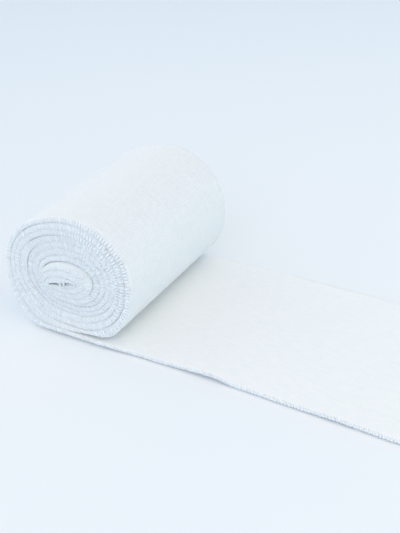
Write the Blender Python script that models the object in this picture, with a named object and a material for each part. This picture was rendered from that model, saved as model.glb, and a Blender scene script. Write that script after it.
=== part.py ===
"""Elastic crepe bandage: one strip of cloth, loosely wound, with its outer end lying flat.

Units are metres and +Z is up. The roll's axis lies along Y and the loose end runs towards +X.
The origin is the bottom centre of the whole piece.
"""
import math

import bmesh
import bpy

# The strip of cloth
ROLL_WIDTH = 0.075
LOOSE_WIDTH = 0.0768
CLOTH_THICKNESS = 0.0019
LOOSE_REACH = 0.150

# The winding, counted in turns from the outside to the inner end
TURNS = 9.8
STEPS_PER_TURN = 48
TAKE_OFF_ANGLE = math.radians(-61.0)
SPREAD = 0.0205
REST_SOFTNESS = 0.0024
TAKE_OFF_SOFTNESS = 0.0007

# Unevenness of the outermost turn, which fades towards the middle
# lobes, share of the radius, direction of a lobe in degrees
LOBES = [
    (3, 0.0208, 48.5),
    (4, 0.0107, -26.3),
]

# Cross-section of the winding at mid width
# turns in, half width, half height, centre x, centre z, tilt in degrees
OVALS = [
    (0.0, 0.0294, 0.0273, -0.0018, 0.0231, 0.6),
    (1.0, 0.0271, 0.0250, -0.0018, 0.0232, 0.6),
    (2.0, 0.0248, 0.0213, -0.0019, 0.0243, 0.8),
    (3.5, 0.0214, 0.0173, -0.0021, 0.0244, 1.0),
    (6.9, 0.0133, 0.0092, -0.0025, 0.0224, 3.0),
    (8.5, 0.0100, 0.0057, -0.0036, 0.0219, 8.0),
    (9.8, 0.0071, 0.0025, -0.0046, 0.0215, 12.0),
    (10.8, 0.0050, 0.0004, -0.0052, 0.0213, 13.0),
]

# How far each turn's edge stands out from the nominal width, at the roll's two ends
# turns in, stand-out above the axis, stand-out below the axis
NEAR_END_RELIEF = [
    (0.0, 0.0012, 0.0021),
    (0.5, 0.0000, 0.0006),
    (1.0, 0.0002, 0.0003),
    (3.2, 0.0001, -0.0002),
    (3.8, -0.0014, -0.0004),
    (6.6, -0.0019, -0.0009),
    (7.3, 0.0005, 0.0002),
    (8.8, 0.0010, 0.0006),
    (10.8, 0.0004, 0.0002),
]
FAR_END_RELIEF = [
    (0.0, 0.0002, 0.0002),
    (1.6, -0.0008, -0.0002),
    (3.0, 0.0004, 0.0002),
    (4.8, 0.0006, -0.0004),
    (6.6, -0.0008, -0.0006),
    (8.6, -0.0016, -0.0012),
    (10.8, -0.0020, -0.0016),
]

# Grooves between the turns at the roll's ends
GROOVE_DEPTH = 0.0009
EDGE_ROUNDING = 0.00025
CREST_INNER = 0.30
CREST_OUTER = 0.70

# Places where the turns part more widely
# turns in, extra depth, middle of the stretch in degrees, half length of the stretch in degrees
MAIN_GAPS = [
    (1.45, 0.0008, 135.0, 60.0),
    (1.95, 0.0008, -50.0, 50.0),
    (3.5, 0.0012, 75.0, 75.0),
    (7.0, 0.0012, -20.0, 175.0),
]
GAP_REACH = 0.55

# The flattened eye left where the strip was folded before it was wound
EYE_DEPTH = 0.007
EYE_TAPER = 0.85

# The loose end
LOOSE_OFFSET = -0.0010
BEND_ANGLE = 0.039
BEND_START = 0.040
BEND_LENGTH = 0.030
LOOSE_STEPS = 44
WIDTH_STEPS = 8

# Small ripples that lift the near edge of the loose end
# start, crest, end, height, reach in from the edge
RIPPLES = [
    (0.034, 0.060, 0.067, 0.0010, 0.022),
    (0.090, 0.106, 0.120, 0.0004, 0.016),
]


def smooth_step(start, end, value):
    """Rise from 0 to 1 between start and end, level at both."""
    share = min(max((value - start) / (end - start), 0.0), 1.0)
    return share * share * (3.0 - 2.0 * share)


def read_table(table, position):
    """Interpolate a table's columns at a position in its first column."""
    position = min(max(position, table[0][0]), table[-1][0])
    for low, high in zip(table, table[1:]):
        if position <= high[0]:
            share = (position - low[0]) / (high[0] - low[0])
            return [a + (b - a) * share for a, b in zip(low[1:], high[1:])]
    return list(table[-1][1:])


def soft_floor(height, floor, softness):
    """Keep a height on or above a floor, joining it in a smooth curve."""
    if height <= floor - softness:
        return floor
    if height >= floor + softness:
        return height
    return floor + (height - floor + softness) ** 2 / (4.0 * softness)


def station_angle(station):
    """Direction of a station seen from the near end: the strip runs left, up, over and down."""
    return TAKE_OFF_ANGLE - 2.0 * math.pi * station / STEPS_PER_TURN


def section_point(station):
    """Outer face of the strip at a station, as x and z in the section at mid width."""
    turns_in = station / STEPS_PER_TURN
    angle = station_angle(station)
    half_width, half_height, centre_x, centre_z, tilt = read_table(OVALS, turns_in)
    outer_share = half_height / OVALS[0][2]
    radius = 1.0
    for count, share, direction in LOBES:
        radius += outer_share * share * math.cos(count * (angle - math.radians(direction)))
    along = half_width * math.cos(angle) * radius
    across = half_height * math.sin(angle) * radius
    tilt = math.radians(tilt)
    x = centre_x + along * math.cos(tilt) - across * math.sin(tilt)
    z = centre_z + along * math.sin(tilt) + across * math.cos(tilt)
    layers_below = math.floor((station + STEPS_PER_TURN / 2) / STEPS_PER_TURN)
    take_off_side = smooth_step(0.0, half_width * math.cos(TAKE_OFF_ANGLE), along)
    softness = REST_SOFTNESS + (TAKE_OFF_SOFTNESS - REST_SOFTNESS) * take_off_side
    return x, soft_floor(z, layers_below * CLOTH_THICKNESS, softness)


def widened(point, y):
    """The roll is a little looser towards its far end, about the line where it rests."""
    scale = 1.0 + SPREAD * 2.0 * y / ROLL_WIDTH
    return point[0] * scale, y, point[1] * scale


def crest_stand_out(relief, station):
    """How far the edge of a turn stands out at a station."""
    above, below = read_table(relief, station / STEPS_PER_TURN)
    upward = 0.5 + 0.5 * math.sin(station_angle(station))
    ripple = 0.00015 * math.sin(5.3 * station_angle(station) + station / 31.0)
    return below + (above - below) * upward + ripple


def angle_between(first, second):
    """Smallest angle between two directions in degrees."""
    return abs((first - second + 180.0) % 360.0 - 180.0)


def groove_depth(station):
    """Depth of the groove on the outer side of a turn, deeper where the turns part."""
    turns_in = station / STEPS_PER_TURN
    direction = math.degrees(station_angle(station))
    depth = EDGE_ROUNDING + (GROOVE_DEPTH - EDGE_ROUNDING) * smooth_step(1.0, 1.1, turns_in)
    for gap_turn, extra, middle, half_length in MAIN_GAPS:
        near_turn = 1.0 - smooth_step(0.0, GAP_REACH, abs(turns_in - gap_turn))
        near_angle = 1.0 - smooth_step(0.6 * half_length, half_length, angle_between(direction, middle))
        depth += extra * near_turn * near_angle
    return depth


class Strip:
    """Collects the vertices and faces of the wound strip and its loose end."""

    def __init__(self):
        self.mesh = bmesh.new()
        self.last = round(TURNS * STEPS_PER_TURN)

    def add(self, place):
        return self.mesh.verts.new(place)

    def quad_strip(self, first_row, second_row):
        """Join two rows of vertices of the same length with four-sided faces."""
        for i in range(len(first_row) - 1):
            self.mesh.faces.new((first_row[i], first_row[i + 1], second_row[i + 1], second_row[i]))

    def build_end(self, side, relief):
        """Ridged spiral at one end of the roll, from the outside in to the eye."""
        half = ROLL_WIDTH / 2.0
        grooves = []
        for station in range(self.last + STEPS_PER_TURN + 1):
            stand_out = crest_stand_out(relief, station) - groove_depth(station)
            grooves.append(self.add(widened(section_point(station), side * (half + stand_out))))
        crests = []
        for share in (CREST_INNER, CREST_OUTER):
            row = []
            for station in range(self.last + 1):
                outer = section_point(station)
                inner = section_point(station + STEPS_PER_TURN)
                x = outer[0] + (inner[0] - outer[0]) * share
                z = outer[1] + (inner[1] - outer[1]) * share
                row.append(self.add(widened((x, z), side * (half + crest_stand_out(relief, station)))))
            crests.append(row)
        stop = self.last + 1
        self.quad_strip(grooves[:stop], crests[0])
        self.quad_strip(crests[0], crests[1])
        self.quad_strip(crests[1], grooves[STEPS_PER_TURN:])
        eye = grooves[self.last:] + [crests[1][self.last], crests[0][self.last]]
        self.sink_eye(eye, side)
        return {
            "outline": grooves[:STEPS_PER_TURN + 1],
            "edge": [grooves[0], crests[0][0], crests[1][0], grooves[STEPS_PER_TURN]],
        }

    def sink_eye(self, rim, side):
        """Sink the flattened eye into the end and close its bottom."""
        centre_x = sum(v.co.x for v in rim) / len(rim)
        centre_z = sum(v.co.z for v in rim) / len(rim)
        floor = []
        for vertex in rim:
            x = centre_x + (vertex.co.x - centre_x) * EYE_TAPER
            z = centre_z + (vertex.co.z - centre_z) * EYE_TAPER
            floor.append(self.add((x, side * (ROLL_WIDTH / 2.0 - EYE_DEPTH), z)))
        self.quad_strip(rim + rim[:1], floor + floor[:1])
        self.mesh.faces.new(floor)

    def build_side(self, near, far):
        """Outer face of the outermost turn, from the near end's outline to the far end's."""
        rows = [near["outline"]]
        for step in range(1, WIDTH_STEPS):
            y = ROLL_WIDTH * (step / WIDTH_STEPS - 0.5)
            rows.append([self.add(widened(section_point(i), y)) for i in range(STEPS_PER_TURN + 1)])
        rows.append(far["outline"])
        for first, second in zip(rows, rows[1:]):
            self.quad_strip(first, second)
        return [row[0] for row in rows], [row[-1] for row in rows]

    def build_loose_end(self, bottom, top, near, far):
        """Flat sheet that goes on from the take-off line, turning slightly towards -Y."""
        start = section_point(0)[0]
        step_length = (LOOSE_REACH - start) / LOOSE_STEPS
        x, y = start, LOOSE_OFFSET
        previous = {"bottom": bottom, "top": top, "near": near["edge"], "far": far["edge"]}
        for step in range(1, LOOSE_STEPS + 1):
            run = start + step * step_length
            heading = -BEND_ANGLE * smooth_step(BEND_START, BEND_START + BEND_LENGTH, run)
            x += step_length * math.cos(heading)
            y += step_length * math.sin(heading)
            current = self.loose_row(x, y, heading, run)
            for name in ("bottom", "top", "near", "far"):
                self.quad_strip(previous[name], current[name])
            previous = current
        self.close_cut_end(previous)

    def loose_row(self, x, y, heading, run):
        """Bottom, top and edge vertices across the loose end at one place along it."""
        rows = {"bottom": [], "top": []}
        for step in range(WIDTH_STEPS + 1):
            across = LOOSE_WIDTH * (step / WIDTH_STEPS - 0.5)
            place = (x - math.sin(heading) * across, y + math.cos(heading) * across)
            lift = ripple_lift(run, LOOSE_WIDTH / 2.0 + across)
            rows["bottom"].append(self.add((place[0], place[1], lift)))
            rows["top"].append(self.add((place[0], place[1], lift + CLOTH_THICKNESS)))
        for name, end in (("near", 0), ("far", -1)):
            low = rows["bottom"][end]
            high = rows["top"][end]
            outward = -EDGE_ROUNDING if name == "near" else EDGE_ROUNDING
            middles = []
            for share in (CREST_INNER, CREST_OUTER):
                place = low.co.lerp(high.co, share)
                place.x -= math.sin(heading) * outward
                place.y += math.cos(heading) * outward
                middles.append(self.add(place))
            rows[name] = [low, *middles, high]
        return rows

    def close_cut_end(self, row):
        """Plain cut across the end of the strip."""
        rim = row["bottom"] + row["far"][1:-1] + row["top"][::-1] + row["near"][-2:0:-1]
        self.mesh.faces.new(rim)

    def finish(self, name, material):
        """Turn the faces outwards, set the origin at the bottom centre and make the object."""
        bmesh.ops.recalc_face_normals(self.mesh, faces=self.mesh.faces[:])
        xs = [v.co.x for v in self.mesh.verts]
        ys = [v.co.y for v in self.mesh.verts]
        offset = (-(min(xs) + max(xs)) / 2.0, -(min(ys) + max(ys)) / 2.0, 0.0)
        bmesh.ops.translate(self.mesh, vec=offset, verts=self.mesh.verts[:])
        data = bpy.data.meshes.new(name)
        self.mesh.to_mesh(data)
        self.mesh.free()
        data.materials.append(material)
        data.shade_smooth()
        data.set_sharp_from_angle(angle=math.radians(50.0))
        thing = bpy.data.objects.new(name, data)
        bpy.context.collection.objects.link(thing)
        return thing


def ripple_lift(run, from_near_edge):
    """Height of the cloth's underside above the surface."""
    lift = 0.0
    for start, crest, end, height, reach in RIPPLES:
        profile = smooth_step(start, crest, run) * (1.0 - smooth_step(crest, end, run))
        lift += height * profile * (1.0 - smooth_step(0.0, reach, from_near_edge))
    return lift


def crepe_material():
    """Undyed cotton and elastic crepe, matt and slightly warm white."""
    material = bpy.data.materials.new("crepe_cloth")
    material.use_nodes = True
    shader = material.node_tree.nodes["Principled BSDF"]
    shader.inputs["Base Color"].default_value = (0.83, 0.85, 0.83, 1.0)
    shader.inputs["Roughness"].default_value = 0.9
    shader.inputs["Metallic"].default_value = 0.0
    return material


def clear_scene():
    for thing in list(bpy.data.objects):
        bpy.data.objects.remove(thing, do_unlink=True)


def main():
    clear_scene()
    strip = Strip()
    near = strip.build_end(-1.0, NEAR_END_RELIEF)
    far = strip.build_end(1.0, FAR_END_RELIEF)
    bottom, top = strip.build_side(near, far)
    strip.build_loose_end(bottom, top, near, far)
    strip.finish("bandage", crepe_material())


main()
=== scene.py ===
"""Elastic crepe bandage: one wound strip of undyed cloth with its outer end laid out flat.

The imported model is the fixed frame. This script dresses it with the cloth, turn by turn,
and with the weft loops along both selvedges, and sets the floor, the light and the camera.
Units are metres and +Z is up.
"""

import math
import random

import bpy
from bpy.props import FloatProperty, FloatVectorProperty, PointerProperty
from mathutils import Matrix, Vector, noise


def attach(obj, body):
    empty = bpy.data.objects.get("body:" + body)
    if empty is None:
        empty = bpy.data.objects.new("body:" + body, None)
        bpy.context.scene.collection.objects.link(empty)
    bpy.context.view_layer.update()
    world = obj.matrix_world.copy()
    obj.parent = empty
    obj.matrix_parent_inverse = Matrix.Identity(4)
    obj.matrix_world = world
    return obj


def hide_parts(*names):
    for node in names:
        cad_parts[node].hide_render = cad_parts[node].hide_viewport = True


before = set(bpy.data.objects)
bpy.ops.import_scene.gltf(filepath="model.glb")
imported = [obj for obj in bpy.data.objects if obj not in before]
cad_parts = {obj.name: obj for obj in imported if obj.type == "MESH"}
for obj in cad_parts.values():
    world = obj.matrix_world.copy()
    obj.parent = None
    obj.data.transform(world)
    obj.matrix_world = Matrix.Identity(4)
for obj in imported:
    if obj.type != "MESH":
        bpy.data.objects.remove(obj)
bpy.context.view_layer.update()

bl_info = {
    "name": "Elastic crepe bandage",
    "version": (1, 0, 0),
    "blender": (4, 5, 0),
    "location": "3D View > Sidebar > Bandage",
    "description": "Makes a wound crepe bandage with a loose end, its selvedges and a plain stage",
    "category": "Object",
}

BODY = "root"
SOLID = "bandage"

# Where the foot of the roll's axis stands in the row frame
ROLL_FOOT = Vector((-0.05996, 0.00235, 0.0))

# The strip of cloth, as in the part's source
ROLL_WIDTH = 0.075
LOOSE_WIDTH = 0.0768
CLOTH_THICKNESS = 0.0019
LOOSE_REACH = 0.150

# The winding, counted in turns from the outside to the inner end
TURNS = 10.3
TAKE_OFF_ANGLE = math.radians(-61.0)
SPREAD = 0.0205
REST_SOFTNESS = 0.0024
TAKE_OFF_SOFTNESS = 0.0004

# Unevenness of the outermost turn, which fades towards the middle
# lobes, share of the radius, direction of a lobe in degrees
LOBES = [
    (3, 0.0208, 48.5),
    (4, 0.0107, -26.3),
]

# Cross-section of the winding at mid width
# turns in, half width, half height, centre x, centre z, tilt in degrees
OVALS = [
    (0.0, 0.0294, 0.0273, -0.0018, 0.0231, 0.6),
    (1.0, 0.0271, 0.0250, -0.0018, 0.0232, 0.6),
    (2.0, 0.0248, 0.0213, -0.0019, 0.0243, 0.8),
    (3.5, 0.0214, 0.0173, -0.0021, 0.0244, 1.0),
    (6.9, 0.0133, 0.0092, -0.0025, 0.0224, 3.0),
    (8.5, 0.0100, 0.0057, -0.0036, 0.0219, 8.0),
    (9.8, 0.0071, 0.0025, -0.0046, 0.0215, 12.0),
    (10.8, 0.0050, 0.0004, -0.0052, 0.0213, 13.0),
]

# How far each turn's edge stands out from the nominal width, at the roll's two ends
# turns in, stand-out at the top of the turn, stand-out at its foot
NEAR_END_RELIEF = [
    (0.0, 0.0004, 0.0040),
    (0.5, -0.0009, 0.0031),
    (1.0, -0.0009, 0.0029),
    (2.0, -0.0002, 0.0020),
    (3.2, 0.0006, 0.0010),
    (3.8, -0.0014, 0.0000),
    (6.8, -0.0018, -0.0014),
    (7.0, 0.0002, 0.0006),
    (8.8, 0.0015, 0.0008),
    (10.8, 0.0018, 0.0004),
]
FAR_END_RELIEF = [
    (0.0, 0.0002, 0.0002),
    (1.6, -0.0008, -0.0002),
    (3.0, 0.0004, 0.0002),
    (4.8, 0.0006, -0.0004),
    (6.6, -0.0008, -0.0006),
    (8.6, -0.0016, -0.0012),
    (10.8, -0.0020, -0.0016),
]

# Sine of the direction up to which the foot's stand-out holds, and from which the top's does
RELIEF_BLEND = (-1.0, 0.6)

# The edge of a turn leans towards the next turn's, at most this much and this far in from the edge
LEAN_LIMIT = 0.0008
LEAN_SHARE = 0.85
LEAN_REACH = 0.0050

# Places where the turns part more widely near their edges
# turns in, extra gap, middle of the stretch in degrees, half length of the stretch in degrees
MAIN_GAPS = [
    (1.30, 0.00010, 130.0, 90.0),
    (2.05, 0.00022, -85.0, 100.0),
    (3.6, 0.00045, 60.0, 90.0),
    (7.40, 0.00050, 180.0, 400.0),
]
# A gap is full up to the first of these from its place, in turns, and has closed at the second
GAP_CORE = 0.34
GAP_REACH = 0.50
# Share of the half length of its stretch over which a gap is full, and its depth from the edge
GAP_FULL_SHARE = 0.6
GAP_DEPTH = 0.0014
# The most of a layer's room that gaps may take from its outer and from its inner face
MOST_OUTER_GAP = 0.6
MOST_INNER_GAP = 0.5

# The outermost turn draws back where it meets the loose end: depth, turns before and after the meeting
MEETING_GAP = 0.0014
MEETING_BEFORE = 0.05
MEETING_AFTER = 0.10

# The gap at a turn's inner face opens over this part of the first turn, and the one at its
# outer face between these turns, where another turn begins to cover it
TAKE_OFF_TURNS = 0.08
COVERED_TURNS = (0.9, 1.1)
# The first half turn lies on the surface where it is lower than this
LYING_TURNS = 0.5
LYING_HEIGHT = 0.0030
# No layer of the winding is thinner than this
LEAST_PITCH = 0.0002

# The near edge of what lies on the surface spreads and curls up a little
# under the roll, under the loose end
NEAR_EDGE_SPREAD = (0.0019, 0.0007)
NEAR_EDGE_CURL = (0.0006, 0.0003)
CURL_REACH = 0.0050
# Distance from the roll's axis up to which the roll presses on the loose end, and where it has let go
UNDER_ROLL = (0.012, 0.030)

# The roll's bottom is lifted at its near end: lift, reach along the axis, height where it has faded
NEAR_END_LIFT = 0.0005
LIFT_REACH = 0.0070
LIFT_HEIGHT = 0.0140

# The flattened eye that the first fold leaves: shut inside the roll, and opened near its ends
# half heights are those of the shut eye, the opening is each wall's own and has this depth
EYE_CENTRE = (-0.0047, 0.0213)
EYE_HALF_LENGTH = 0.0055
EYE_TILT = math.radians(16.0)
EYE_MIDDLE_HEIGHT = 0.00005
EYE_END_HEIGHT = 0.00008
EYE_OPENING = 0.0011
EYE_OPENING_DEPTH = 0.0016
EYE_FROM_TURN = 9.2
EYE_BY_TURN = 9.6

# Loose yarns across the eye at the near end, from the upper wall to the lower
# x and z of the top, x and z of the foot, how far behind the edge
EYE_STRANDS = [
    (-0.0060, 0.0226, -0.0052, 0.0195, 0.0004),
    (-0.0051, 0.0229, -0.0045, 0.0198, 0.0012),
    (-0.0042, 0.0230, -0.0039, 0.0201, 0.0006),
    (-0.0024, 0.0236, -0.0017, 0.0209, 0.0018),
    (-0.0082, 0.0214, -0.0074, 0.0190, 0.0020),
    (-0.0098, 0.0197, -0.0008, 0.0222, 0.0030),
    (-0.0092, 0.0205, -0.0002, 0.0230, 0.0036),
]
STRAND_STEPS = 7
STRAND_BOW = 0.0004
# Their radius as a share of the weft yarn's diameter
STRAND_SHARE = 0.45

# The loose end
LOOSE_OFFSET = -0.0010
BEND_ANGLE = 0.039
BEND_START = 0.040
BEND_LENGTH = 0.030

# Small ripples that lift the near edge of the loose end
# start, crest, end, height, reach in from the edge
RIPPLES = [
    (0.034, 0.060, 0.067, 0.0010, 0.022),
    (0.090, 0.106, 0.120, 0.0004, 0.016),
]

# The cloth's mesh
SAMPLES_PER_TURN = 240
EDGE_COLUMNS = [0.0, 0.0005, 0.0012, 0.0024, 0.0050, 0.0120]
FINE_CELL = 0.0010
FINE_FROM_WIDTH = 0.0015
FINE_OVERLAP = 0.03
LAID, WOUND = "laid", "wound"
# A place on the strip is kept this many rows before the end, so that it always has a row after it
ROWS_KEPT_BACK = 1.001

# The rounded edge: share of the thickness, share of the bulge
RIM = [
    (0.10, 0.50),
    (0.30, 0.88),
    (0.50, 1.00),
    (0.70, 0.88),
    (0.90, 0.50),
]
# Distances from the edge at which its inset, its unevenness and its smoothness have faded
INSET_REACH = 0.006
WANDER_REACH = 0.004
SMOOTH_EDGE = (0.001, 0.004)

# The crepe's wrinkles: size across the strip, size along it, share of the height, seed
SHORT_WRINKLES = (0.0024, 0.0060, 0.62, 3.1)
BROAD_WAVES = (0.0170, 0.0110, 0.55, 8.7)

# Unevenness of the edges: size along the strip, share, seed
LONG_WANDER = (0.0060, 0.7, 0.0)
SHORT_WANDER = (0.0019, 0.3, 5.0)
EDGE_SEEDS = (21.0, 34.0)
# It grows from this share on the loose end to the whole in the roll, between these lengths from the cut
LAID_WANDER = 0.4
WANDER_GROWTH = (0.13, 0.17)

# A weft loop's path over the edge: share of the thickness, part of the stand-out, part of the slant
LOOP_PATH = [
    (0.27, -1.60, -0.50),
    (0.23, -0.70, -0.42),
    (0.29, 0.40, -0.22),
    (0.50, 1.00, 0.00),
    (0.71, 0.40, 0.22),
    (0.77, -0.70, 0.42),
    (0.73, -1.60, 0.50),
]
LOOP_SIDES = 6
# How far the loops sink into the edge in a tight turn, and how thin the yarn's hidden tips are
LOOP_BURIAL = 0.00013
TIP_SHARE = 0.55

# Chance between the loops: shift along in pitches, reach, slant, thickness, shift through the cloth
LOOP_SHIFT = (-0.24, 0.24)
LOOP_REACHES = (0.55, 1.35)
LOOP_SLANTS = (0.4, 1.4)
LOOP_THICKNESSES = (0.85, 1.12)
LOOP_RISE = (-0.09, 0.09)
LOOP_SEEDS = (71, 72)
# In a tight and in a loose turn: share of the reach, of the yarn's thickness, of the cloth's thickness
REACH_SHARES = (0.12, 1.0)
YARN_SHARES = (0.85, 1.1)
SPAN_SHARES = (1.2, 1.0)
# Rows left free of loops at the cut end and at the end in the eye
FIRST_LOOP = 0.8
LAST_LOOP = 1.8

# The loops spring up most where the turns are loosest, on the roll's upper side towards the loose end
LOOSEST_DIRECTION = 15.0
LOOSE_HALF_LENGTH = 105.0
LOOSE_FULL_SHARE = 0.25
LOOSE_RECESS = 0.00006
FAR_END_LOOSENESS = 0.25
# They tighten by this share between these turns
TIGHTENING = 0.85
TIGHTENING_TURNS = (2.5, 4.5)
# On the loose end they spring up this much, between these distances from the roll's axis
LAID_LOOSENESS = 0.3
LAID_LOOSE_FROM = (0.05, 0.09)

# Places of the three soft lights, and their size
OVERHEAD_PLACE = (0.45, 0.0, 0.95)
SIDE_PLACE = (1.05, -0.15, 0.75)
FRONT_PLACE = (0.15, -1.05, 0.80)
SOFTBOX_SIZE = 1.0

# Width of the camera's sensor in millimetres, and how far it sees in metres
SENSOR_WIDTH = 36.0
FARTHEST_SEEN = 50.0

# Scales of the materials' patterns in repeats for each metre, with the real size that each one gives
# The weave's irregularity, 5.9 mm, and how far it moves a yarn across and along the strip
IRREGULARITY_SCALE = 170.0
IRREGULARITY = (0.0011, 0.0016, 0.0)
# Small puckers of the crepe, 1.6 mm across the strip and 4.6 mm along it
PUCKER_SCALE = 620.0
PUCKER_STRETCH = (1.0, 0.35, 1.0)
PUCKER_SHARE = 1.3
# Tufts of fibre, 0.19 mm, drawn coarser than a cotton fibre, which is too fine to show
FIBRE_SCALE = 5200.0
FIBRE_SHARE = 0.35
# Height of the weave's relief, and lengths from the cut between which it grows from loose end to roll
WEAVE_HEIGHT = 0.00022
WEAVE_GROWTH = (0.140, 0.175)
# Cotton seed specks 0.5 mm wide in cells of 10.5 mm, of which only a few hold one
SPECK_SCALE = 95.0
SPECK_RADIUS = 0.022
SPECK_RARITY = 0.93
# Ply lines of the weft yarn, 1.1 mm apart, and their height
PLY_SCALE = 420.0
PLY_HEIGHT = 0.00008
# Fuzz of the weft yarn, 0.17 mm, drawn coarser than a cotton fibre, which is too fine to show
FUZZ_SCALE = 6000.0
FUZZ_SHARE = 0.6
# Clouds in the floor's colour, 170 mm
CLOUD_SCALE = 6.0


# Shapes of the winding


def smooth_step(start, end, value):
    """Rise from 0 to 1 between start and end, level at both."""
    share = min(max((value - start) / (end - start), 0.0), 1.0)
    return share * share * (3.0 - 2.0 * share)


def mix(first, second, share):
    return first + (second - first) * share


def read_table(table, position):
    """Interpolate a table's columns at a position in its first column."""
    position = min(max(position, table[0][0]), table[-1][0])
    for low, high in zip(table, table[1:]):
        if position <= high[0]:
            share = (position - low[0]) / (high[0] - low[0])
            return [mix(a, b, share) for a, b in zip(low[1:], high[1:])]
    return list(table[-1][1:])


def soft_floor(height, floor, softness):
    """Keep a height on or above a floor, joining it in a smooth curve."""
    if height <= floor - softness:
        return floor
    if height >= floor + softness:
        return height
    return floor + (height - floor + softness) ** 2 / (4.0 * softness)


def turn_angle(turns_in):
    """Direction of a place on the strip seen from the near end."""
    return TAKE_OFF_ANGLE - 2.0 * math.pi * turns_in


def boundary_point(turns_in):
    """Where a turn begins, as x and z in the section at mid width."""
    angle = turn_angle(turns_in)
    half_width, half_height, centre_x, centre_z, tilt = read_table(OVALS, turns_in)
    outer_share = half_height / OVALS[0][2]
    radius = 1.0
    for count, share, direction in LOBES:
        radius += outer_share * share * math.cos(count * (angle - math.radians(direction)))
    along = half_width * math.cos(angle) * radius
    across = half_height * math.sin(angle) * radius
    tilt = math.radians(tilt)
    x = centre_x + along * math.cos(tilt) - across * math.sin(tilt)
    z = centre_z + along * math.sin(tilt) + across * math.cos(tilt)
    layers_below = math.floor(turns_in + 0.5)
    take_off_side = smooth_step(0.0, half_width * math.cos(TAKE_OFF_ANGLE), along)
    softness = mix(REST_SOFTNESS, TAKE_OFF_SOFTNESS, take_off_side)
    return Vector((x, 0.0, soft_floor(z, layers_below * CLOTH_THICKNESS, softness)))


def eye_point(turns_in):
    """Wall of the flattened eye in the direction of that place on the strip."""
    angle = turn_angle(turns_in) - EYE_TILT
    along = EYE_HALF_LENGTH * math.cos(angle)
    half_height = mix(EYE_MIDDLE_HEIGHT, EYE_END_HEIGHT, (along / EYE_HALF_LENGTH) ** 2)
    across = half_height * math.sin(angle)
    x = EYE_CENTRE[0] + along * math.cos(EYE_TILT) - across * math.sin(EYE_TILT)
    z = EYE_CENTRE[1] + along * math.sin(EYE_TILT) + across * math.cos(EYE_TILT)
    return Vector((x, 0.0, z))


def stand_out(relief, turns_in):
    """How far the edge of a turn stands out."""
    above, below = read_table(relief, turns_in)
    upward = smooth_step(*RELIEF_BLEND, math.sin(turn_angle(turns_in)))
    return mix(below, above, upward)


def angle_between(first, second):
    """Smallest angle between two directions in degrees."""
    return abs((first - second + 180.0) % 360.0 - 180.0)


def main_gap(turns_in):
    """Extra room between the turns at a boundary, near the roll's ends."""
    direction = math.degrees(turn_angle(turns_in))
    width = 0.0
    for gap_turn, extra, middle, half_length in MAIN_GAPS:
        near_turn = 1.0 - smooth_step(GAP_CORE, GAP_REACH, abs(turns_in - gap_turn))
        away = angle_between(direction, middle)
        near_angle = 1.0 - smooth_step(GAP_FULL_SHARE * half_length, half_length, away)
        width += extra * near_turn * near_angle
    return width


def meeting_gap(turns_in):
    """How far the roll's side draws back from the loose end where the two meet."""
    before = smooth_step(1.0 - MEETING_BEFORE, 1.0, turns_in)
    return MEETING_GAP * before * (1.0 - smooth_step(1.0, 1.0 + MEETING_AFTER, turns_in))


def ripple_lift(run, from_near_edge):
    """Height of the loose end's underside above the surface."""
    lift = 0.0
    for start, crest, end, height, reach in RIPPLES:
        profile = smooth_step(start, crest, run) * (1.0 - smooth_step(crest, end, run))
        lift += height * profile * (1.0 - smooth_step(0.0, reach, from_near_edge))
    return lift


def edge_curl(height, from_edge, side):
    """How far the underside of the near edge is raised above the surface."""
    return 0.0 if side else height * (1.0 - smooth_step(0.0, CURL_REACH, from_edge))


def looseness(row, side):
    """How loose the cloth is at a row's near or far edge, from 0 to 1."""
    if row.kind == LAID:
        return LAID_LOOSENESS * smooth_step(*LAID_LOOSE_FROM, row.run)
    direction = math.degrees(turn_angle(row.turns_in))
    away = angle_between(direction, LOOSEST_DIRECTION)
    facing = 1.0 - smooth_step(LOOSE_FULL_SHARE * LOOSE_HALF_LENGTH, LOOSE_HALF_LENGTH, away)
    fading = 1.0 - TIGHTENING * smooth_step(*TIGHTENING_TURNS, row.turns_in)
    return facing * fading * (FAR_END_LOOSENESS if side else 1.0)


def end_lift(from_near_edge, height):
    """How far the roll's bottom is lifted near its near end."""
    return NEAR_END_LIFT * (1.0 - smooth_step(0.0, LIFT_REACH, from_near_edge)) * (
        1.0 - smooth_step(0.0, LIFT_HEIGHT, height))


class LaidRow:
    """One line across the loose end, where the cloth lies flat."""

    kind = LAID
    pitch = CLOTH_THICKNESS

    def __init__(self, run, x, y, heading):
        self.run = run
        self.centre = (x, y)
        self.heading = heading
        self.under_roll = 1.0 - smooth_step(*UNDER_ROLL, run)
        spread = mix(NEAR_EDGE_SPREAD[1], NEAR_EDGE_SPREAD[0], self.under_roll)
        self.edges = (-LOOSE_WIDTH / 2.0 - spread, LOOSE_WIDTH / 2.0)
        self.curl = mix(NEAR_EDGE_CURL[1], NEAR_EDGE_CURL[0], self.under_roll)

    def gaps(self, from_edge, side):
        """Share of the layer left free at its outer and inner face."""
        return edge_curl(self.curl, from_edge, side) / self.pitch, 0.0

    def place(self, across, share):
        x = self.centre[0] - math.sin(self.heading) * across
        y = self.centre[1] + math.cos(self.heading) * across
        from_near_edge = across - self.edges[0]
        lift = ripple_lift(self.run, from_near_edge) + self.under_roll * end_lift(from_near_edge, 0.0)
        return Vector((x, y, lift + CLOTH_THICKNESS * share)) + ROLL_FOOT


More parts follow.
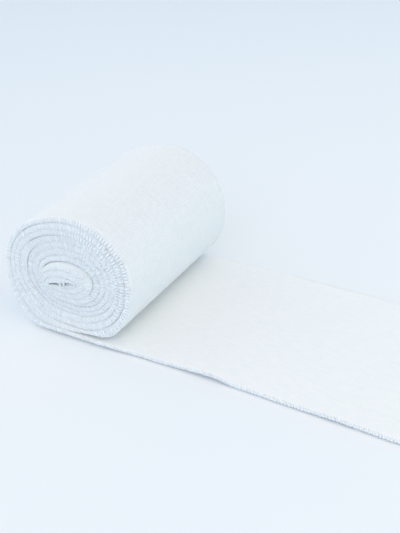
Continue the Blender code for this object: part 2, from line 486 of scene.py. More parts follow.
class WoundRow:
    """One line across the roll, inside one turn."""

    kind = WOUND

    def __init__(self, turns_in, gap, thickest):
        self.turns_in = turns_in
        self.outer = boundary_point(turns_in)
        self.inner = boundary_point(turns_in + 1.0).lerp(
            eye_point(turns_in), smooth_step(EYE_FROM_TURN, EYE_BY_TURN, turns_in))
        half = ROLL_WIDTH / 2.0
        self.lying = 0.0
        if turns_in < LYING_TURNS:
            self.lying = 1.0 - smooth_step(0.0, LYING_HEIGHT, self.outer.z)
        self.edges = (
            -half - stand_out(NEAR_END_RELIEF, turns_in),
            half + stand_out(FAR_END_RELIEF, turns_in),
        )
        self.leans = []
        for relief in (NEAR_END_RELIEF, FAR_END_RELIEF):
            step = stand_out(relief, turns_in + 1.0) - stand_out(relief, turns_in)
            self.leans.append(min(max(step, -LEAN_LIMIT), LEAN_LIMIT))
        self.pitch = max((self.inner - self.outer).length, LEAST_PITCH)
        spare = max(self.pitch - gap - thickest, 0.0) / 2.0
        covered = smooth_step(*COVERED_TURNS, turns_in)
        off_loose_end = smooth_step(0.0, TAKE_OFF_TURNS, turns_in)
        self.outer_gap = (0.5 * gap + spare) * covered + meeting_gap(turns_in)
        self.inner_gap = (0.5 * gap + spare) * off_loose_end
        self.outer_main_gap = 0.5 * main_gap(turns_in) * covered
        self.inner_main_gap = 0.5 * main_gap(turns_in + 1.0)
        self.eye_opening = EYE_OPENING * smooth_step(EYE_FROM_TURN, EYE_BY_TURN, turns_in)

    def gaps(self, from_edge, side):
        """Share of the layer left free at its outer and inner face."""
        opened = 1.0 - smooth_step(0.0, GAP_DEPTH, from_edge)
        outer = self.outer_gap + self.outer_main_gap * opened
        outer += self.lying * edge_curl(NEAR_EDGE_CURL[0], from_edge, side)
        inner = self.inner_gap + self.inner_main_gap * opened
        inner += self.eye_opening * (1.0 - smooth_step(0.0, EYE_OPENING_DEPTH, from_edge))
        return min(outer / self.pitch, MOST_OUTER_GAP), min(inner / self.pitch, MOST_INNER_GAP)

    def place(self, across, share):
        spread = 1.0 + SPREAD * 2.0 * across / ROLL_WIDTH
        point = self.outer.lerp(self.inner, share) * spread
        lift = end_lift(across - self.edges[0], point.z)
        side = 0 if across < 0.0 else 1
        faded = 1.0 - smooth_step(0.0, LEAN_REACH, abs(across - self.edges[side]))
        lean = LEAN_SHARE * self.leans[side] * share * faded
        height = max(point.z + lift, 0.0)
        return Vector((point.x, across + (lean if side else -lean), height)) + ROLL_FOOT


class Strip:
    """The whole strip as rows at an even spacing, from the cut end to the end in the eye."""

    def __init__(self, spacing, gap, thickest):
        self.spacing = spacing
        self.rows = self.laid_rows() + self.wound_rows(gap, thickest)
        self.length = spacing * (len(self.rows) - 1)

    def laid_rows(self):
        start = boundary_point(0.0).x
        steps = round((LOOSE_REACH - start) / self.spacing)
        length = (LOOSE_REACH - start) / steps
        x, y = start, LOOSE_OFFSET
        rows = []
        for step in range(1, steps + 1):
            run = start + step * length
            heading = -BEND_ANGLE * smooth_step(BEND_START, BEND_START + BEND_LENGTH, run)
            x += length * math.cos(heading)
            y += length * math.sin(heading)
            rows.append(LaidRow(run, x, y, heading))
        return rows[::-1]

    def wound_rows(self, gap, thickest):
        """Rows an even length apart along the middle of the cloth."""
        samples = [i / SAMPLES_PER_TURN for i in range(round(TURNS * SAMPLES_PER_TURN) + 1)]
        middles = []
        for turns_in in samples:
            row = WoundRow(turns_in, gap, thickest)
            middles.append(row.outer.lerp(row.inner, 0.5))
        lengths = [0.0]
        for first, second in zip(middles, middles[1:]):
            lengths.append(lengths[-1] + (second - first).length)
        rows = []
        at = 0
        for step in range(int(lengths[-1] / self.spacing) + 1):
            target = step * self.spacing
            while lengths[at + 1] < target:
                at += 1
            share = (target - lengths[at]) / (lengths[at + 1] - lengths[at])
            rows.append(WoundRow(mix(samples[at], samples[at + 1], share), gap, thickest))
        return rows

    def place(self, position, side, outward, share):
        """A point by its place along the strip in rows, beside the near edge (0) or the far edge (1)."""
        position = min(max(position, 0.0), len(self.rows) - ROWS_KEPT_BACK)
        first = self.rows[int(position)]
        second = self.rows[int(position) + 1]
        points = []
        for row in (first, second):
            sign = 1.0 if side else -1.0
            outer, inner = row.gaps(max(-outward, 0.0), side)
            across = row.edges[side] + sign * outward
            points.append(row.place(across, mix(outer, 1.0 - inner, share)))
        return points[0].lerp(points[1], position - int(position))


def pucker(across, along, height):
    """Relief of the crepe in metres: short wrinkles along the strip on long soft waves."""
    relief = 0.0
    for size_across, size_along, share, seed in (SHORT_WRINKLES, BROAD_WAVES):
        relief += share * noise.noise(Vector((across / size_across, along / size_along, seed)))
    return height * relief


def edge_wander(along, side):
    """Unevenness of an edge along the strip, for an edge that stands out by a millimetre."""
    wander = 0.0
    for size, share, seed in (LONG_WANDER, SHORT_WANDER):
        wander += share * noise.noise(Vector((along / size, EDGE_SEEDS[side], seed)))
    return mix(LAID_WANDER, 1.0, smooth_step(*WANDER_GROWTH, along)) * wander


class ClothMesh:
    """Collects the vertices, faces and UVs of the closed strip."""

    def __init__(self, strip, settings):
        self.strip = strip
        self.settings = settings
        self.points = []
        self.uvs = []
        self.faces = []

    def add(self, point, across, along):
        self.points.append(point)
        self.uvs.append((across, along))
        return len(self.points) - 1

    def columns(self, row, fine):
        """Distances from the near edge, as groups between the coarse columns."""
        width = row.edges[1] - row.edges[0]
        coarse = EDGE_COLUMNS + [width / 2.0] + [width - d for d in reversed(EDGE_COLUMNS)]
        groups = []
        for low, high in zip(coarse, coarse[1:]):
            parts = 1
            if fine and high - low > FINE_FROM_WIDTH:
                parts = round((high - low) / FINE_CELL)
            groups.append([mix(low, high, i / parts) for i in range(parts + 1)])
        return groups

    def face_segments(self, row, along, inner_face, fine):
        """Vertices of one face of the cloth across a row."""
        width = row.edges[1] - row.edges[0]
        segments = []
        last = None
        for group in self.columns(row, fine):
            segment = []
            for i, distance in enumerate(group):
                if i == 0 and last is not None:
                    segment.append(last)
                    continue
                segment.append(self.face_point(row, along, inner_face, distance, width))
            last = segment[-1]
            segments.append(segment)
        return segments

    def inset(self, row, side):
        """How far the woven edge lies behind the nominal one."""
        return self.settings.edge_inset + self.settings.rim_bulge + LOOSE_RECESS * looseness(row, side)

    def face_point(self, row, along, inner_face, distance, width):
        from_edge = min(distance, width - distance)
        side = 0 if distance < width / 2.0 else 1
        shrink = self.inset(row, side) * (1.0 - smooth_step(0.0, INSET_REACH, from_edge))
        shrink -= self.wander(along, side) * (1.0 - smooth_step(0.0, WANDER_REACH, from_edge))
        across = row.edges[0] + distance + (-shrink if side else shrink)
        outer_gap, inner_gap = row.gaps(from_edge, side)
        wrinkles = self.settings.pucker_height
        if row.kind == LAID:
            wrinkles *= self.settings.loose_smoothness
        relief = pucker(across, along, wrinkles) / row.pitch
        pressed = min(relief, 0.0) * smooth_step(*SMOOTH_EDGE, from_edge)
        if inner_face:
            share = 1.0 - inner_gap
            share += relief if row.kind == LAID else pressed
        else:
            share = outer_gap
            if row.kind == WOUND:
                share -= relief if row.turns_in < 1.0 else pressed
        return self.add(row.place(across, share), across, along)

    def wander(self, along, side):
        return self.settings.edge_wander * edge_wander(along, side)

    def rim(self, row, along, side, reverse):
        """Rounded edge between the two faces."""
        outer_gap, inner_gap = row.gaps(0.0, side)
        sign = 1.0 if side else -1.0
        base = row.edges[side] - sign * self.inset(row, side)
        base += sign * self.wander(along, side)
        made = []
        for share, bulge in RIM:
            across = base + sign * self.settings.rim_bulge * bulge
            through = mix(outer_gap, 1.0 - inner_gap, share)
            made.append(self.add(row.place(across, through), across, along))
        return made[::-1] if reverse else made

    def ring(self, row, along, fine_outer, fine_inner):
        """All vertices round the cloth at a row, as segments that close in a ring."""
        outer = self.face_segments(row, along, False, fine_outer)
        inner = self.face_segments(row, along, True, fine_inner)
        far = self.rim(row, along, 1, False)
        near = self.rim(row, along, 0, True)
        inner = [segment[::-1] for segment in inner[::-1]]
        far_line = [outer[-1][-1]] + far + [inner[0][0]]
        near_line = [inner[-1][-1]] + near + [outer[0][0]]
        segments = list(outer)
        segments += [list(pair) for pair in zip(far_line, far_line[1:])]
        segments += inner
        segments += [list(pair) for pair in zip(near_line, near_line[1:])]
        return segments

    def join(self, first, second):
        """Faces between two neighbouring rings."""
        for low, high in zip(first, second):
            if len(low) != len(high):
                self.faces.append(low + high[::-1])
                continue
            for i in range(len(low) - 1):
                self.faces.append((low[i], low[i + 1], high[i + 1], high[i]))

    def build(self):
        previous = None
        for number, row in enumerate(self.strip.rows):
            along = number * self.strip.spacing
            fine_outer = row.kind == WOUND and row.turns_in < 1.0 + FINE_OVERLAP
            fine_inner = row.kind == LAID or row.turns_in < FINE_OVERLAP
            ring = self.ring(row, along, fine_outer, fine_inner)
            if previous is None:
                self.cap(ring, True)
            else:
                self.join(previous, ring)
            previous = ring
        self.cap(previous, False)

    def cap(self, ring, first):
        """Plain cut across the cloth."""
        rim = [segment[i] for segment in ring for i in range(len(segment) - 1)]
        self.faces.append(rim[::-1] if first else rim)


# Meshes and materials


def linear(hex_colour):
    """An sRGB hex colour as linear red, green and blue."""
    parts = [int(hex_colour[i:i + 2], 16) / 255.0 for i in (1, 3, 5)]
    return [c / 12.92 if c <= 0.04045 else ((c + 0.055) / 1.055) ** 2.4 for c in parts]


def add_node(tree, kind, settings=None, inputs=None):
    """Add one node, with its settings, and its inputs as values or as other nodes' outputs."""
    node = tree.nodes.new(kind)
    for name, value in (settings or {}).items():
        setattr(node, name, value)
    for name, value in (inputs or {}).items():
        if isinstance(value, bpy.types.NodeSocket):
            tree.links.new(value, node.inputs[name])
        else:
            node.inputs[name].default_value = value
    return node


def new_material(name):
    """An empty material with its shader."""
    material = bpy.data.materials.new(name)
    material.use_nodes = True
    return material, material.node_tree, material.node_tree.nodes["Principled BSDF"]


def make_object(name, points, faces, uvs, material):
    """A smooth mesh object at the origin, with one UV map in metres."""
    data = bpy.data.meshes.new(name)
    data.from_pydata(points, [], faces)
    layer = data.uv_layers.new(name="cloth_metres")
    corners = [0] * len(data.loops)
    data.loops.foreach_get("vertex_index", corners)
    layer.data.foreach_set("uv", [value for corner in corners for value in uvs[corner]])
    data.materials.append(material)
    data.validate()
    data.shade_smooth()
    thing = bpy.data.objects.new(name, data)
    bpy.context.scene.collection.objects.link(thing)
    return thing


def let_light_in(shader, settings):
    """Let light pass a little way into the cotton, which softens the lines between the turns."""
    shader.inputs["Subsurface Weight"].default_value = settings.light_passing
    shader.inputs["Subsurface Radius"].default_value = (1.0, 1.0, 1.0)
    shader.inputs["Subsurface Scale"].default_value = settings.light_reach


def crepe_cloth(settings):
    """Crepe of overtwisted cotton with elastic warp yarns, woven plain and left undyed.

    The eye sees a matt warm white with fine ribs along the strip, crossed by uneven short
    crinkles, a few cotton seed specks, and a soft bloom where light grazes the fibres.
    The low parts of the weave and puckers carry painted shade, a greyer tone mixed in by height.
    The real ribs and crinkles are about 0.6 mm apart, which is too fine to show in the
    render, so both are drawn 1.05 mm apart.
    """
    material, tree, shader = new_material("woven_cotton_elastic_crepe")
    coordinates = add_node(tree, "ShaderNodeTexCoord")
    metres = coordinates.outputs["UV"]
    wander = add_node(tree, "ShaderNodeTexNoise", {}, {
        "Vector": metres, "Scale": IRREGULARITY_SCALE, "Detail": 2.0, "Roughness": 0.5})
    centred = add_node(tree, "ShaderNodeVectorMath", {"operation": "SUBTRACT"}, {
        0: wander.outputs["Color"], 1: (0.5, 0.5, 0.5)})
    wandered = add_node(tree, "ShaderNodeVectorMath", {"operation": "MULTIPLY_ADD"}, {
        0: centred.outputs["Vector"], 1: IRREGULARITY, 2: metres})
    parts = add_node(tree, "ShaderNodeSeparateXYZ", {}, {"Vector": wandered.outputs["Vector"]})
    across = add_node(tree, "ShaderNodeMath", {"operation": "MULTIPLY"}, {
        0: parts.outputs["X"], 1: math.pi / settings.rib_pitch})
    along = add_node(tree, "ShaderNodeMath", {"operation": "MULTIPLY"}, {
        0: parts.outputs["Y"], 1: math.pi / settings.crinkle_pitch})
    rib_wave = add_node(tree, "ShaderNodeMath", {"operation": "SINE"}, {0: across.outputs[0]})
    crinkle_wave = add_node(tree, "ShaderNodeMath", {"operation": "SINE"}, {0: along.outputs[0]})
    over_under = add_node(tree, "ShaderNodeMath", {"operation": "MULTIPLY"}, {
        0: rib_wave.outputs[0], 1: crinkle_wave.outputs[0]})
    over = add_node(tree, "ShaderNodeMapRange", {"interpolation_type": "SMOOTHSTEP"}, {
        "Value": over_under.outputs[0], "From Min": -0.5, "From Max": 0.5})
    rib = add_node(tree, "ShaderNodeMath", {"operation": "ABSOLUTE"}, {0: rib_wave.outputs[0]})
    crinkle = add_node(tree, "ShaderNodeMath", {"operation": "ABSOLUTE"}, {0: crinkle_wave.outputs[0]})
    weave = add_node(tree, "ShaderNodeMix", {"data_type": "FLOAT"}, {
        "Factor": over.outputs["Result"], "A": rib.outputs[0], "B": crinkle.outputs[0]})
    stretched = add_node(tree, "ShaderNodeMapping", {}, {"Vector": metres, "Scale": PUCKER_STRETCH})
    puckers = add_node(tree, "ShaderNodeTexNoise", {}, {
        "Vector": stretched.outputs["Vector"], "Scale": PUCKER_SCALE, "Detail": 3.0, "Roughness": 0.6})
    fibres = add_node(tree, "ShaderNodeTexNoise", {}, {
        "Vector": metres, "Scale": FIBRE_SCALE, "Detail": 2.0, "Roughness": 0.7})
    with_puckers = add_node(tree, "ShaderNodeMath", {"operation": "MULTIPLY_ADD"}, {
        0: puckers.outputs["Fac"], 1: PUCKER_SHARE, 2: weave.outputs["Result"]})
    height = add_node(tree, "ShaderNodeMath", {"operation": "MULTIPLY_ADD"}, {
        0: fibres.outputs["Fac"], 1: FIBRE_SHARE, 2: with_puckers.outputs[0]})
    place = add_node(tree, "ShaderNodeSeparateXYZ", {}, {"Vector": metres})
    strength = add_node(tree, "ShaderNodeMapRange", {"interpolation_type": "SMOOTHSTEP"}, {
        "Value": place.outputs["Y"], "From Min": WEAVE_GROWTH[0], "From Max": WEAVE_GROWTH[1],
        "To Min": settings.weave_strength * settings.loose_smoothness, "To Max": settings.weave_strength})
    bump = add_node(tree, "ShaderNodeBump", {}, {
        "Strength": strength.outputs["Result"], "Distance": WEAVE_HEIGHT, "Height": height.outputs[0]})
    # Painted shade: the colour runs from the greyer hollow tone up to the yarn tone as the weave's height
    # rises, so its hollows are painted darker as if shaded
    raised = add_node(tree, "ShaderNodeMapRange", {}, {
        "Value": height.outputs[0], "From Min": 0.5, "From Max": 1.9})
    yarn_colour = add_node(tree, "ShaderNodeMix", {"data_type": "RGBA"}, {
        "Factor": raised.outputs["Result"],
        "A": (*settings.hollow_shade_colour, 1.0), "B": (*settings.yarn_colour, 1.0)})
    specks = add_node(tree, "ShaderNodeTexVoronoi", {}, {"Vector": metres, "Scale": SPECK_SCALE})
    speck_size = add_node(tree, "ShaderNodeMath", {"operation": "LESS_THAN"}, {
        0: specks.outputs["Distance"], 1: SPECK_RADIUS})
    speck_choice = add_node(tree, "ShaderNodeSeparateXYZ", {}, {"Vector": specks.outputs["Color"]})
    chosen = add_node(tree, "ShaderNodeMath", {"operation": "GREATER_THAN"}, {
        0: speck_choice.outputs["X"], 1: SPECK_RARITY})
    speck = add_node(tree, "ShaderNodeMath", {"operation": "MULTIPLY"}, {
        0: speck_size.outputs[0], 1: chosen.outputs[0]})
    colour = add_node(tree, "ShaderNodeMix", {"data_type": "RGBA"}, {
        "Factor": speck.outputs[0],
        "A": yarn_colour.outputs["Result"], "B": (*linear("#B9B3A4"), 1.0)})
    roughness = add_node(tree, "ShaderNodeMapRange", {}, {
        "Value": fibres.outputs["Fac"], "To Min": 0.84, "To Max": 0.96})
    tree.links.new(colour.outputs["Result"], shader.inputs["Base Color"])
    tree.links.new(roughness.outputs["Result"], shader.inputs["Roughness"])
    tree.links.new(bump.outputs["Normal"], shader.inputs["Normal"])
    shader.inputs["Specular IOR Level"].default_value = 0.25
    shader.inputs["Sheen Weight"].default_value = 0.20
    shader.inputs["Sheen Roughness"].default_value = 0.55
    let_light_in(shader, settings)
    return material


def weft_yarn(settings):
    """Soft-spun cotton weft, a two-ply yarn bent back at each selvedge.

    The eye sees matt white loops with a slanting ply line and a faint fuzz, with painted
    shade, a greyer tone, in the low parts of that relief. The real loops are finer and closer
    than the render can show, so they are drawn 1.2 mm apart.
    """
    material, tree, shader = new_material("spun_cotton_weft")
    coordinates = add_node(tree, "ShaderNodeTexCoord")
    plies = add_node(tree, "ShaderNodeTexWave", {"bands_direction": "DIAGONAL"}, {
        "Vector": coordinates.outputs["UV"], "Scale": PLY_SCALE, "Distortion": 1.5, "Detail": 1.0})
    fuzz = add_node(tree, "ShaderNodeTexNoise", {}, {
        "Vector": coordinates.outputs["Object"], "Scale": FUZZ_SCALE, "Detail": 2.0})
    height = add_node(tree, "ShaderNodeMath", {"operation": "MULTIPLY_ADD"}, {
        0: fuzz.outputs["Fac"], 1: FUZZ_SHARE, 2: plies.outputs["Fac"]})
    bump = add_node(tree, "ShaderNodeBump", {}, {
        "Strength": 0.7, "Distance": PLY_HEIGHT, "Height": height.outputs[0]})
    # Painted shade: the greyer hollow tone fills the low grooves of the plies and fuzz, standing in for
    # their shade
    shade = add_node(tree, "ShaderNodeMapRange", {}, {
        "Value": height.outputs[0], "From Min": 0.1, "From Max": 1.3})
    colour = add_node(tree, "ShaderNodeMix", {"data_type": "RGBA"}, {
        "Factor": shade.outputs["Result"],
        "A": (*settings.hollow_shade_colour, 1.0), "B": (*settings.yarn_colour, 1.0)})
    tree.links.new(colour.outputs["Result"], shader.inputs["Base Color"])
    tree.links.new(bump.outputs["Normal"], shader.inputs["Normal"])
    shader.inputs["Roughness"].default_value = 0.92
    shader.inputs["Specular IOR Level"].default_value = 0.25
    shader.inputs["Sheen Weight"].default_value = 0.25
    shader.inputs["Sheen Roughness"].default_value = 0.5
    let_light_in(shader, settings)
    return material


def floor_board(settings):
    """Matt laminate board, pressed smooth and pale blue white.

    The eye sees an even ground with only a trace of unevenness.
    """
    material, tree, shader = new_material("matt_laminate_board")
    coordinates = add_node(tree, "ShaderNodeTexCoord")
    cloudy = add_node(tree, "ShaderNodeTexNoise", {}, {
        "Vector": coordinates.outputs["Object"], "Scale": CLOUD_SCALE, "Detail": 1.0})
    colour = add_node(tree, "ShaderNodeMix", {"data_type": "RGBA"}, {
        "Factor": cloudy.outputs["Fac"],
        "A": (*settings.floor_colour, 1.0), "B": (*settings.floor_shade, 1.0)})
    tree.links.new(colour.outputs["Result"], shader.inputs["Base Color"])
    shader.inputs["Roughness"].default_value = 0.85
    shader.inputs["Specular IOR Level"].default_value = 0.2
    return material


# Settings that a user would change


def length_setting(name, description, default):
    return FloatProperty(
        name=name, description=description, default=default, unit="LENGTH", precision=6)


def share_setting(name, description, default):
    return FloatProperty(
        name=name, description=description, default=default, min=0.0, max=1.0, subtype="FACTOR")


def power_setting(name, description, default):
    return FloatProperty(name=name, description=description, default=default, min=0.0, unit="POWER")


def colour_setting(name, description, hex_colour):
    return FloatVectorProperty(
        name=name, description=description, default=linear(hex_colour),
        min=0.0, max=1.0, size=3, subtype="COLOR")


class ClothSettings(bpy.types.PropertyGroup):
    row_spacing: length_setting(
        "Row spacing", "Spacing of the mesh rows along the strip", 0.000625)
    turn_gap: length_setting(
        "Gap between turns", "Room left between two turns of the roll", 0.00001)
    thickest: length_setting(
        "Thickest cloth", "Thickness that the cloth swells to where it is not pressed", 0.0045)
    pucker_height: length_setting(
        "Pucker height", "Height of the crepe's wrinkles", 0.00014)
    loose_smoothness: share_setting(
        "Loose end's relief", "Relief of the loose end as a share of the roll's", 0.20)
    edge_inset: length_setting(
        "Edge inset", "How far the woven edge lies behind the outermost loops", 0.00006)
    rim_bulge: length_setting(
        "Rim bulge", "How far the edge bulges between the two faces", 0.00022)
    edge_wander: length_setting(
        "Edge wander", "Unevenness of the edges along the strip", 0.00030)
    rib_pitch: length_setting(
        "Rib pitch", "Spacing of the warp ribs across the strip", 0.00105)
    crinkle_pitch: length_setting(
        "Crinkle pitch", "Spacing of the crinkles along the strip", 0.00105)
    weave_strength: share_setting(
        "Weave strength", "How strongly the weave catches the light", 0.80)
    light_passing: share_setting(
        "Light passing", "Share of the light that passes into the cotton", 0.6)
    light_reach: length_setting(
        "Light reach", "How far light travels inside the cotton", 0.0008)
    yarn_colour: colour_setting(
        "Yarn colour", "Cotton where the yarns stand up", "#F9F8F4")
    # Painted shade: this greyer tone is mixed in where the weave's relief is low, in place of the shade
    # in its hollows
    hollow_shade_colour: colour_setting(
        "Hollow colour", "Cotton in the hollows between the yarns", "#EEEFEE")


class SelvedgeSettings(bpy.types.PropertyGroup):
    loop_pitch: length_setting(
        "Loop pitch", "Spacing of the weft loops along an edge", 0.00120)
    yarn_diameter: length_setting(
        "Yarn diameter", "Thickness of the weft yarn", 0.00076)
    loop_stand_out: length_setting(
        "Loop stand-out", "How far a loop stands out from the woven edge", 0.00042)
    slant: length_setting(
        "Slant", "How far a loop runs along the edge as it crosses it", 0.00050)


class StageSettings(bpy.types.PropertyGroup):
    floor_size: FloatProperty(
        name="Floor size", description="Side of the square floor",
        default=8.0, unit="LENGTH")
    floor_colour: colour_setting(
        "Floor colour", "Lighter tone of the floor", "#F3F5F6")
    floor_shade: colour_setting(
        "Floor shade", "Darker tone of the floor", "#F1F4F6")
    right_wall: colour_setting(
        "Right wall", "Colour of the light from the tent's right wall", "#98ADBD")
    left_wall: colour_setting(
        "Left wall", "Colour of the light from the tent's left wall", "#D8E4E6")
    back_wall: colour_setting(
        "Back wall", "Colour of the light from the tent's back wall", "#7CA6C8")
    front_wall: colour_setting(
        "Front wall", "Colour of the light from the tent's front wall", "#96BDDD")
    roof: colour_setting(
        "Roof", "Colour of the light from the tent's roof", "#978F8C")
    overhead_colour: colour_setting(
        "Overhead colour", "Colour of the light from the large soft light above", "#FFE3B9")
    side_colour: colour_setting(
        "Side colour", "Colour of the light from the large soft light at the side", "#F1FFD7")
    front_colour: colour_setting(
        "Front colour", "Colour of the light from the large soft light in front", "#FFDEDD")
    tent_strength: FloatProperty(
        name="Tent strength", description="Strength of the light from the tent", default=2.0, min=0.0)
    overhead_power: power_setting(
        "Overhead power", "Power of the large soft light above", 2.21)
    side_power: power_setting(
        "Side power", "Power of the large soft light at the side", 0.86)
    front_power: power_setting(
        "Front power", "Power of the large soft light in front", 2.44)
    lens: FloatProperty(
        name="Lens", description="Focal length of the camera in millimetres",
        default=54.24, min=1.0, unit="CAMERA")
    camera_place: FloatVectorProperty(
        name="Camera place", description="Where the camera stands, from the foot of the roll's axis",
        default=(0.154842, -0.239713, 0.171713), size=3, subtype="TRANSLATION", unit="LENGTH")
    camera_pitch: FloatProperty(
        name="Camera pitch", description="How far the camera looks down",
        default=math.radians(29.63), subtype="ANGLE")
    camera_turn: FloatProperty(
        name="Camera turn", description="How far the camera is turned to the left of the roll's axis",
        default=math.radians(27.0), subtype="ANGLE")


# The pieces


class BANDAGE_OT_make_cloth(bpy.types.Operator):
    """Make the cloth, wound turn by turn, with its loose end laid flat"""

    bl_idname = "bandage.make_cloth"
    bl_label = "Make the cloth"

    def execute(self, context):
        settings = context.scene.bandage_cloth
        strip = Strip(settings.row_spacing, settings.turn_gap, settings.thickest)
        mesh = ClothMesh(strip, settings)
        mesh.build()
        cloth = make_object("bandage_cloth", mesh.points, mesh.faces, mesh.uvs, crepe_cloth(settings))
        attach(cloth, BODY)
        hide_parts(SOLID)
        return {"FINISHED"}


class BANDAGE_OT_make_selvedges(bpy.types.Operator):
    """Make the weft loops that turn back over the near and the far edge of the cloth"""

    bl_idname = "bandage.make_selvedges"
    bl_label = "Make the selvedges"

    def execute(self, context):
        cloth_settings = context.scene.bandage_cloth
        settings = context.scene.bandage_selvedges
        strip = Strip(cloth_settings.row_spacing, cloth_settings.turn_gap, cloth_settings.thickest)
        material = weft_yarn(cloth_settings)
        for side, name in enumerate(("selvedge_near", "selvedge_far")):
            points, faces, uvs = self.loops(strip, side, cloth_settings, settings)
            if side == 0:
                self.strands(strip, settings, points, faces, uvs)
            piece = make_object(name, points, faces, uvs, material)
            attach(piece, BODY)
        return {"FINISHED"}

    def loops(self, strip, side, cloth_settings, settings):
        """Every loop along one edge."""
        chance = random.Random(LOOP_SEEDS[side])
        pitch_rows = settings.loop_pitch / strip.spacing
        slant_rows = settings.slant / strip.spacing
        points, faces, uvs = [], [], []
        position = FIRST_LOOP
        while position < len(strip.rows) - LAST_LOOP:
            centre = position + chance.uniform(*LOOP_SHIFT) * pitch_rows
            spring = looseness(strip.rows[int(position)], side)
            reach = settings.loop_stand_out * mix(*REACH_SHARES, spring) * chance.uniform(*LOOP_REACHES)
            lean = slant_rows * chance.uniform(*LOOP_SLANTS)
            radius = settings.yarn_diameter / 2.0 * mix(*YARN_SHARES, spring)
            radius *= chance.uniform(*LOOP_THICKNESSES)
            along = centre * strip.spacing
            wander = cloth_settings.edge_wander * edge_wander(along, side)
            rise = chance.uniform(*LOOP_RISE) * spring
            span = mix(*SPAN_SHARES, spring)
            buried = cloth_settings.edge_inset + LOOP_BURIAL * (1.0 - spring)
            path = []
            for share, outward, slant in LOOP_PATH:
                off = outward * reach - buried + wander
                through = 0.5 + span * (share - 0.5) + rise
                path.append(strip.place(centre + slant * lean, side, off, through))
            self.tube(path, radius, along, points, faces, uvs)
            position += pitch_rows
        return points, faces, uvs

    def strands(self, strip, settings, points, faces, uvs):
        """The loose yarns across the eye."""
        near = strip.rows[-1].edges[0]
        for top_x, top_z, foot_x, foot_z, depth in EYE_STRANDS:
            top = Vector((top_x, near + depth, top_z)) + ROLL_FOOT
            foot = Vector((foot_x, near + depth, foot_z)) + ROLL_FOOT
            path = []
            for step in range(STRAND_STEPS):
                share = step / (STRAND_STEPS - 1)
                bow = STRAND_BOW * math.sin(math.pi * share)
                path.append(top.lerp(foot, share) + Vector((bow, -bow, 0.0)))
            self.tube(path, STRAND_SHARE * settings.yarn_diameter, 0.0, points, faces, uvs)

    def tube(self, path, radius, along, points, faces, uvs):
        """A short length of yarn with rounded ends."""
        start = len(points)
        side_way = None
        distance = 0.0
        for number, centre in enumerate(path):
            before = path[max(number - 1, 0)]
            after = path[min(number + 1, len(path) - 1)]
            heading = (after - before).normalized()
            if side_way is None:
                side_way = heading.orthogonal().normalized()
            side_way = (side_way - heading * side_way.dot(heading)).normalized()
            up_way = heading.cross(side_way)
            distance += (centre - before).length
            thickness = radius * (TIP_SHARE if number in (0, len(path) - 1) else 1.0)
            for step in range(LOOP_SIDES):
                angle = 2.0 * math.pi * step / LOOP_SIDES
                point = centre + (side_way * math.cos(angle) + up_way * math.sin(angle)) * thickness
                point.z = max(point.z, 0.0)
                points.append(point)
                uvs.append((radius * abs(angle - math.pi), along + distance))
        for ring in range(len(path) - 1):
            for step in range(LOOP_SIDES):
                one = start + ring * LOOP_SIDES + step
                two = start + ring * LOOP_SIDES + (step + 1) % LOOP_SIDES
                faces.append((one, two, two + LOOP_SIDES, one + LOOP_SIDES))
        faces.append(tuple(start + step for step in reversed(range(LOOP_SIDES))))
        last = start + (len(path) - 1) * LOOP_SIDES
        faces.append(tuple(last + step for step in range(LOOP_SIDES)))


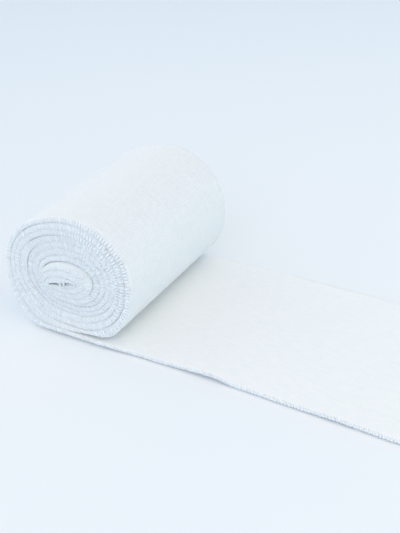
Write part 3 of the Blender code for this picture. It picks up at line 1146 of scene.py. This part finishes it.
class BANDAGE_OT_set_stage(bpy.types.Operator):
    """Set the pale floor, the soft light and the camera"""

    bl_idname = "bandage.set_stage"
    bl_label = "Set the stage"

    def execute(self, context):
        settings = context.scene.bandage_stage
        bpy.ops.object.select_all(action="DESELECT")
        bpy.ops.object.camera_add(
            location=ROLL_FOOT + Vector(settings.camera_place),
            rotation=(math.pi / 2.0 - settings.camera_pitch, 0.0, settings.camera_turn))
        camera = context.object
        camera.name = "camera"
        camera.data.lens = settings.lens
        camera.data.sensor_width = SENSOR_WIDTH
        camera.data.clip_end = FARTHEST_SEEN
        context.scene.camera = camera
        bpy.ops.mesh.primitive_plane_add(size=settings.floor_size)
        floor = context.object
        floor.name = "floor"
        floor.data.materials.append(floor_board(settings))
        self.light(context, settings)
        return {"FINISHED"}

    def light(self, context, settings):
        """A pale tent whose walls give light of their own, with three large soft lights."""
        world = bpy.data.worlds.new("light_tent")
        world.use_nodes = True
        tree = world.node_tree
        direction = add_node(tree, "ShaderNodeTexCoord")
        light = None
        for way, colour in (
            ((1.0, 0.0, 0.0), settings.right_wall),
            ((-1.0, 0.0, 0.0), settings.left_wall),
            ((0.0, 1.0, 0.0), settings.back_wall),
            ((0.0, -1.0, 0.0), settings.front_wall),
            ((0.0, 0.0, 1.0), settings.roof),
        ):
            facing = add_node(tree, "ShaderNodeVectorMath", {"operation": "DOT_PRODUCT"}, {
                0: direction.outputs["Generated"], 1: way})
            towards = add_node(tree, "ShaderNodeMath", {"operation": "MAXIMUM"}, {
                0: facing.outputs["Value"], 1: 0.0})
            share = add_node(tree, "ShaderNodeMath", {"operation": "POWER"}, {
                0: towards.outputs[0], 1: 2.0})
            wall = add_node(tree, "ShaderNodeVectorMath", {"operation": "SCALE"}, {
                0: colour, "Scale": share.outputs[0]})
            if light is None:
                light = wall
                continue
            light = add_node(tree, "ShaderNodeVectorMath", {"operation": "ADD"}, {
                0: light.outputs["Vector"], 1: wall.outputs["Vector"]})
        background = tree.nodes["Background"]
        tree.links.new(light.outputs["Vector"], background.inputs["Color"])
        background.inputs["Strength"].default_value = settings.tent_strength
        context.scene.world = world
        for name, place, colour, power in (
            ("overhead_softbox", OVERHEAD_PLACE, settings.overhead_colour, settings.overhead_power),
            ("side_softbox", SIDE_PLACE, settings.side_colour, settings.side_power),
            ("front_softbox", FRONT_PLACE, settings.front_colour, settings.front_power),
        ):
            turn = Vector(place).to_track_quat("Z", "Y").to_euler()
            bpy.ops.object.light_add(type="AREA", location=place, rotation=turn)
            lamp = context.object
            lamp.name = name
            lamp.data.shape = "DISK"
            lamp.data.size = SOFTBOX_SIZE
            lamp.data.color = colour
            lamp.data.energy = power
        context.scene.view_settings.view_transform = "Standard"


class BANDAGE_PT_panel(bpy.types.Panel):
    """Lists the bandage's settings and its pieces in the order they are made"""

    bl_idname = "BANDAGE_PT_panel"
    bl_label = "Elastic crepe bandage"
    bl_space_type = "VIEW_3D"
    bl_region_type = "UI"
    bl_category = "Bandage"

    def draw(self, context):
        scene = context.scene
        for owner, operator in (
            (scene.bandage_stage, BANDAGE_OT_set_stage),
            (scene.bandage_cloth, BANDAGE_OT_make_cloth),
            (scene.bandage_selvedges, BANDAGE_OT_make_selvedges),
        ):
            box = self.layout.box()
            for name in owner.__annotations__:
                box.prop(owner, name)
            box.operator(operator.bl_idname)


CLASSES = (
    ClothSettings,
    SelvedgeSettings,
    StageSettings,
    BANDAGE_OT_set_stage,
    BANDAGE_OT_make_cloth,
    BANDAGE_OT_make_selvedges,
    BANDAGE_PT_panel,
)


def register():
    for cls in CLASSES:
        bpy.utils.register_class(cls)
    bpy.types.Scene.bandage_cloth = PointerProperty(type=ClothSettings)
    bpy.types.Scene.bandage_selvedges = PointerProperty(type=SelvedgeSettings)
    bpy.types.Scene.bandage_stage = PointerProperty(type=StageSettings)


def unregister():
    del bpy.types.Scene.bandage_stage
    del bpy.types.Scene.bandage_selvedges
    del bpy.types.Scene.bandage_cloth
    for cls in reversed(CLASSES):
        bpy.utils.unregister_class(cls)


def main():
    register()
    bpy.ops.bandage.set_stage()
    bpy.ops.bandage.make_cloth()
    bpy.ops.bandage.make_selvedges()


if __name__ == "__main__":
    main()
